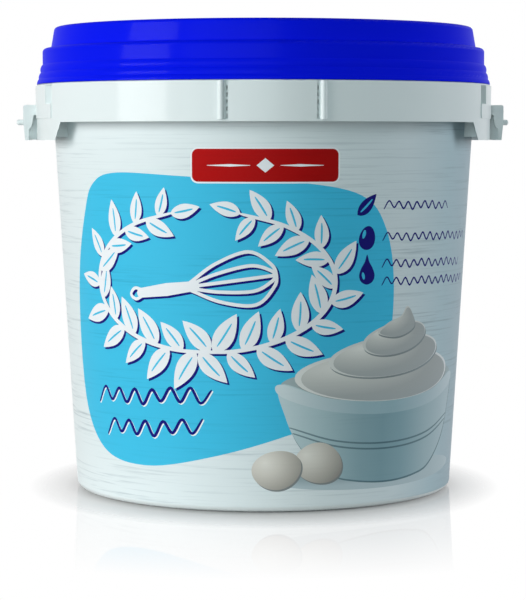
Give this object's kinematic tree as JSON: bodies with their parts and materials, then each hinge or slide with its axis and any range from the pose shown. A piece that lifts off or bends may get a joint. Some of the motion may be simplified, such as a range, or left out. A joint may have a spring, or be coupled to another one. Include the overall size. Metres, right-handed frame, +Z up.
{
  "type": "mayonnaise bucket",
  "caption": "Round tapered plastic pail with a press-on ripple-edged lid, skirted rim, handle ears with pegs and a break-off tamper tab; shut and full of mayonnaise.",
  "frame": {"origin": "centre of the foot, on the floor that the pail stands on", "axes": "+Z up the pail's axis, the two handle ears on +X and -X, the tamper tab and the printed front facing -Y"},
  "size_m": [0.2286, 0.2096, 0.2121],
  "materials": {
    "pail_plastic": "moulded white polypropylene, satin, with an in-mould printed wrap on the wall",
    "lid_plastic": "moulded blue polypropylene, satin"
  },
  "bodies": {
    "root": {"pail": "pail_plastic", "lid": "lid_plastic"}
  },
  "joints": []
}
